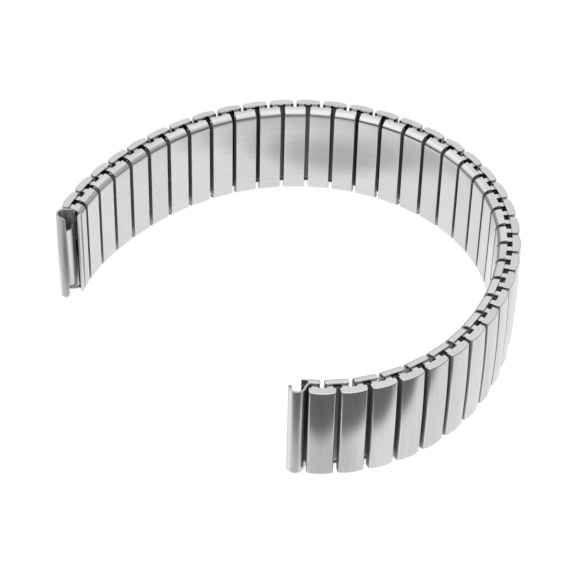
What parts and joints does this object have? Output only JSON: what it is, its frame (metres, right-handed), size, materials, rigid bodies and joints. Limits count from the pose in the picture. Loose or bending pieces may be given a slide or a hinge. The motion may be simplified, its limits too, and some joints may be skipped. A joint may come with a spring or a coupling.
{
  "type": "watch strap",
  "caption": "Stretch watch strap of brushed steel: two staggered rows of flat links joined by sprung bows, with a rolled tube for a spring bar at each end",
  "frame": {"origin": "centre of the curved band's bounding box in plan, at the height of the lower band edge it stands on", "axes": "+Z across the band's width, the strap standing on its edge; +X to the viewer's right and +Y away from the viewer, with the band's opening at the front left"},
  "size_m": [0.0714, 0.0706, 0.016],
  "materials": {
    "satin_shell": "satin, brushed across the band",
    "brushed_sleeve": "fine brushed, bright edges",
    "sleeve_steel": "plain rolled sheet",
    "strip_steel": "bright rolled strip",
    "spring_steel": "spring temper strip",
    "end_sheet": "brushed sheet, rolled"
  },
  "bodies": {
    "section_5": {"section_5_outer_shells": "satin_shell", "section_5_outer_sleeves": "sleeve_steel", "section_5_inner_sleeves": "brushed_sleeve", "section_5_leaf_springs": "spring_steel", "section_5_staples": "strip_steel"},
    "section_1": {"section_1_outer_shells": "satin_shell", "section_1_outer_sleeves": "sleeve_steel", "section_1_inner_sleeves": "brushed_sleeve", "section_1_leaf_springs": "spring_steel", "section_1_staples": "strip_steel"},
    "section_2": {"section_2_outer_shells": "satin_shell", "section_2_outer_sleeves": "sleeve_steel", "section_2_inner_sleeves": "brushed_sleeve", "section_2_leaf_springs": "spring_steel", "section_2_staples": "strip_steel"},
    "section_3": {"section_3_outer_shells": "satin_shell", "section_3_outer_sleeves": "sleeve_steel", "section_3_inner_sleeves": "brushed_sleeve", "section_3_leaf_springs": "spring_steel", "section_3_staples": "strip_steel"},
    "section_4": {"section_4_outer_shells": "satin_shell", "section_4_outer_sleeves": "sleeve_steel", "section_4_inner_sleeves": "brushed_sleeve", "section_4_leaf_springs": "spring_steel", "section_4_staples": "strip_steel"},
    "section_6": {"section_6_outer_shells": "satin_shell", "section_6_outer_sleeves": "sleeve_steel", "section_6_inner_sleeves": "brushed_sleeve", "section_6_leaf_springs": "spring_steel", "section_6_staples": "strip_steel"},
    "section_7": {"section_7_outer_shells": "satin_shell", "section_7_outer_sleeves": "sleeve_steel", "section_7_inner_sleeves": "brushed_sleeve", "section_7_leaf_springs": "spring_steel", "section_7_staples": "strip_steel"},
    "section_8": {"section_8_outer_shells": "satin_shell", "section_8_outer_sleeves": "sleeve_steel", "section_8_inner_sleeves": "brushed_sleeve", "section_8_leaf_springs": "spring_steel", "section_8_staples": "strip_steel"},
    "section_9": {"section_9_outer_shells": "satin_shell", "section_9_outer_sleeves": "sleeve_steel", "section_9_inner_sleeves": "brushed_sleeve", "section_9_leaf_springs": "spring_steel", "section_9_staples": "strip_steel"},
    "bow_pair_1": {"joint_1_staples": "strip_steel"},
    "bow_pair_2": {"joint_2_staples": "strip_steel"},
    "bow_pair_3": {"joint_3_staples": "strip_steel"},
    "bow_pair_4": {"joint_4_staples": "strip_steel"},
    "bow_pair_5": {"joint_5_staples": "strip_steel"},
    "bow_pair_6": {"joint_6_staples": "strip_steel"},
    "bow_pair_7": {"joint_7_staples": "strip_steel"},
    "bow_pair_8": {"joint_8_staples": "strip_steel"},
    "left_bow_pair": {"left_end_staples": "strip_steel"},
    "right_bow_pair": {"right_end_staples": "strip_steel"},
    "left_end": {"left_end_piece": "end_sheet", "left_end_leaf_spring": "spring_steel"},
    "right_end": {"right_end_piece": "end_sheet", "right_end_leaf_spring": "spring_steel"}
  },
  "joints": [
    {"name": "inner_swing_4", "type": "hinge", "parent": "section_5", "child": "bow_pair_4", "pos_m": [0.01951, 0.02722, 0.008], "axis": [0, 0, 1], "range_deg": [0, 15], "stiffness_Nm_per_rad": 0.012},
    {"name": "outer_swing_4", "type": "hinge", "parent": "bow_pair_4", "child": "section_4", "pos_m": [0.02046, 0.02875, 0.008], "axis": [0, 0, -1], "range_deg": [0, 15], "stiffness_Nm_per_rad": 0.012},
    {"name": "inner_swing_3", "type": "hinge", "parent": "section_4", "child": "bow_pair_3", "pos_m": [0.00385, 0.03244, 0.008], "axis": [0, 0, 1], "range_deg": [0, 15], "stiffness_Nm_per_rad": 0.012},
    {"name": "outer_swing_3", "type": "hinge", "parent": "bow_pair_3", "child": "section_3", "pos_m": [0.00387, 0.03424, 0.008], "axis": [0, 0, -1], "range_deg": [0, 15], "stiffness_Nm_per_rad": 0.012},
    {"name": "inner_swing_2", "type": "hinge", "parent": "section_3", "child": "bow_pair_2", "pos_m": [-0.0123, 0.02895, 0.008], "axis": [0, 0, 1], "range_deg": [0, 15], "stiffness_Nm_per_rad": 0.012},
    {"name": "outer_swing_2", "type": "hinge", "parent": "bow_pair_2", "child": "section_2", "pos_m": [-0.01319, 0.03051, 0.008], "axis": [0, 0, -1], "range_deg": [0, 15], "stiffness_Nm_per_rad": 0.012},
    {"name": "inner_swing_1", "type": "hinge", "parent": "section_2", "child": "bow_pair_1", "pos_m": [-0.02513, 0.01825, 0.008], "axis": [0, 0, 1], "range_deg": [0, 15], "stiffness_Nm_per_rad": 0.012},
    {"name": "outer_swing_1", "type": "hinge", "parent": "bow_pair_1", "child": "section_1", "pos_m": [-0.02656, 0.01934, 0.008], "axis": [0, 0, -1], "range_deg": [0, 15], "stiffness_Nm_per_rad": 0.012},
    {"name": "outer_swing_left", "type": "hinge", "parent": "section_1", "child": "left_bow_pair", "pos_m": [-0.0341, 0.00609, 0.008], "axis": [0, 0, -1], "range_deg": [0, 15], "stiffness_Nm_per_rad": 0.012},
    {"name": "inner_swing_left", "type": "hinge", "parent": "left_bow_pair", "child": "left_end", "pos_m": [-0.03242, 0.00546, 0.008], "axis": [0, 0, 1], "range_deg": [0, 15], "stiffness_Nm_per_rad": 0.012},
    {"name": "outer_swing_5", "type": "hinge", "parent": "section_5", "child": "bow_pair_5", "pos_m": [0.02966, 0.01932, 0.008], "axis": [0, 0, 1], "range_deg": [0, 15], "stiffness_Nm_per_rad": 0.012},
    {"name": "inner_swing_5", "type": "hinge", "parent": "bow_pair_5", "child": "section_6", "pos_m": [0.02818, 0.0183, 0.008], "axis": [0, 0, -1], "range_deg": [0, 15], "stiffness_Nm_per_rad": 0.012},
    {"name": "outer_swing_6", "type": "hinge", "parent": "section_6", "child": "bow_pair_6", "pos_m": [0.03468, 0.00259, 0.008], "axis": [0, 0, 1], "range_deg": [0, 15], "stiffness_Nm_per_rad": 0.012},
    {"name": "inner_swing_6", "type": "hinge", "parent": "bow_pair_6", "child": "section_7", "pos_m": [0.03289, 0.00248, 0.008], "axis": [0, 0, -1], "range_deg": [0, 15], "stiffness_Nm_per_rad": 0.012},
    {"name": "outer_swing_7", "type": "hinge", "parent": "section_7", "child": "bow_pair_7", "pos_m": [0.03124, -0.01452, 0.008], "axis": [0, 0, 1], "range_deg": [0, 15], "stiffness_Nm_per_rad": 0.012},
    {"name": "inner_swing_7", "type": "hinge", "parent": "bow_pair_7", "child": "section_8", "pos_m": [0.02956, -0.01388, 0.008], "axis": [0, 0, -1], "range_deg": [0, 15], "stiffness_Nm_per_rad": 0.012},
    {"name": "outer_swing_8", "type": "hinge", "parent": "section_8", "child": "bow_pair_8", "pos_m": [0.02082, -0.02853, 0.008], "axis": [0, 0, 1], "range_deg": [0, 15], "stiffness_Nm_per_rad": 0.012},
    {"name": "inner_swing_8", "type": "hinge", "parent": "bow_pair_8", "child": "section_9", "pos_m": [0.01966, -0.02716, 0.008], "axis": [0, 0, -1], "range_deg": [0, 15], "stiffness_Nm_per_rad": 0.012},
    {"name": "outer_swing_right", "type": "hinge", "parent": "section_9", "child": "right_bow_pair", "pos_m": [0.00434, -0.03427, 0.008], "axis": [0, 0, 1], "range_deg": [0, 15], "stiffness_Nm_per_rad": 0.012},
    {"name": "inner_swing_right", "type": "hinge", "parent": "right_bow_pair", "child": "right_end", "pos_m": [0.00433, -0.03248, 0.008], "axis": [0, 0, -1], "range_deg": [0, 15], "stiffness_Nm_per_rad": 0.012}
  ]
}
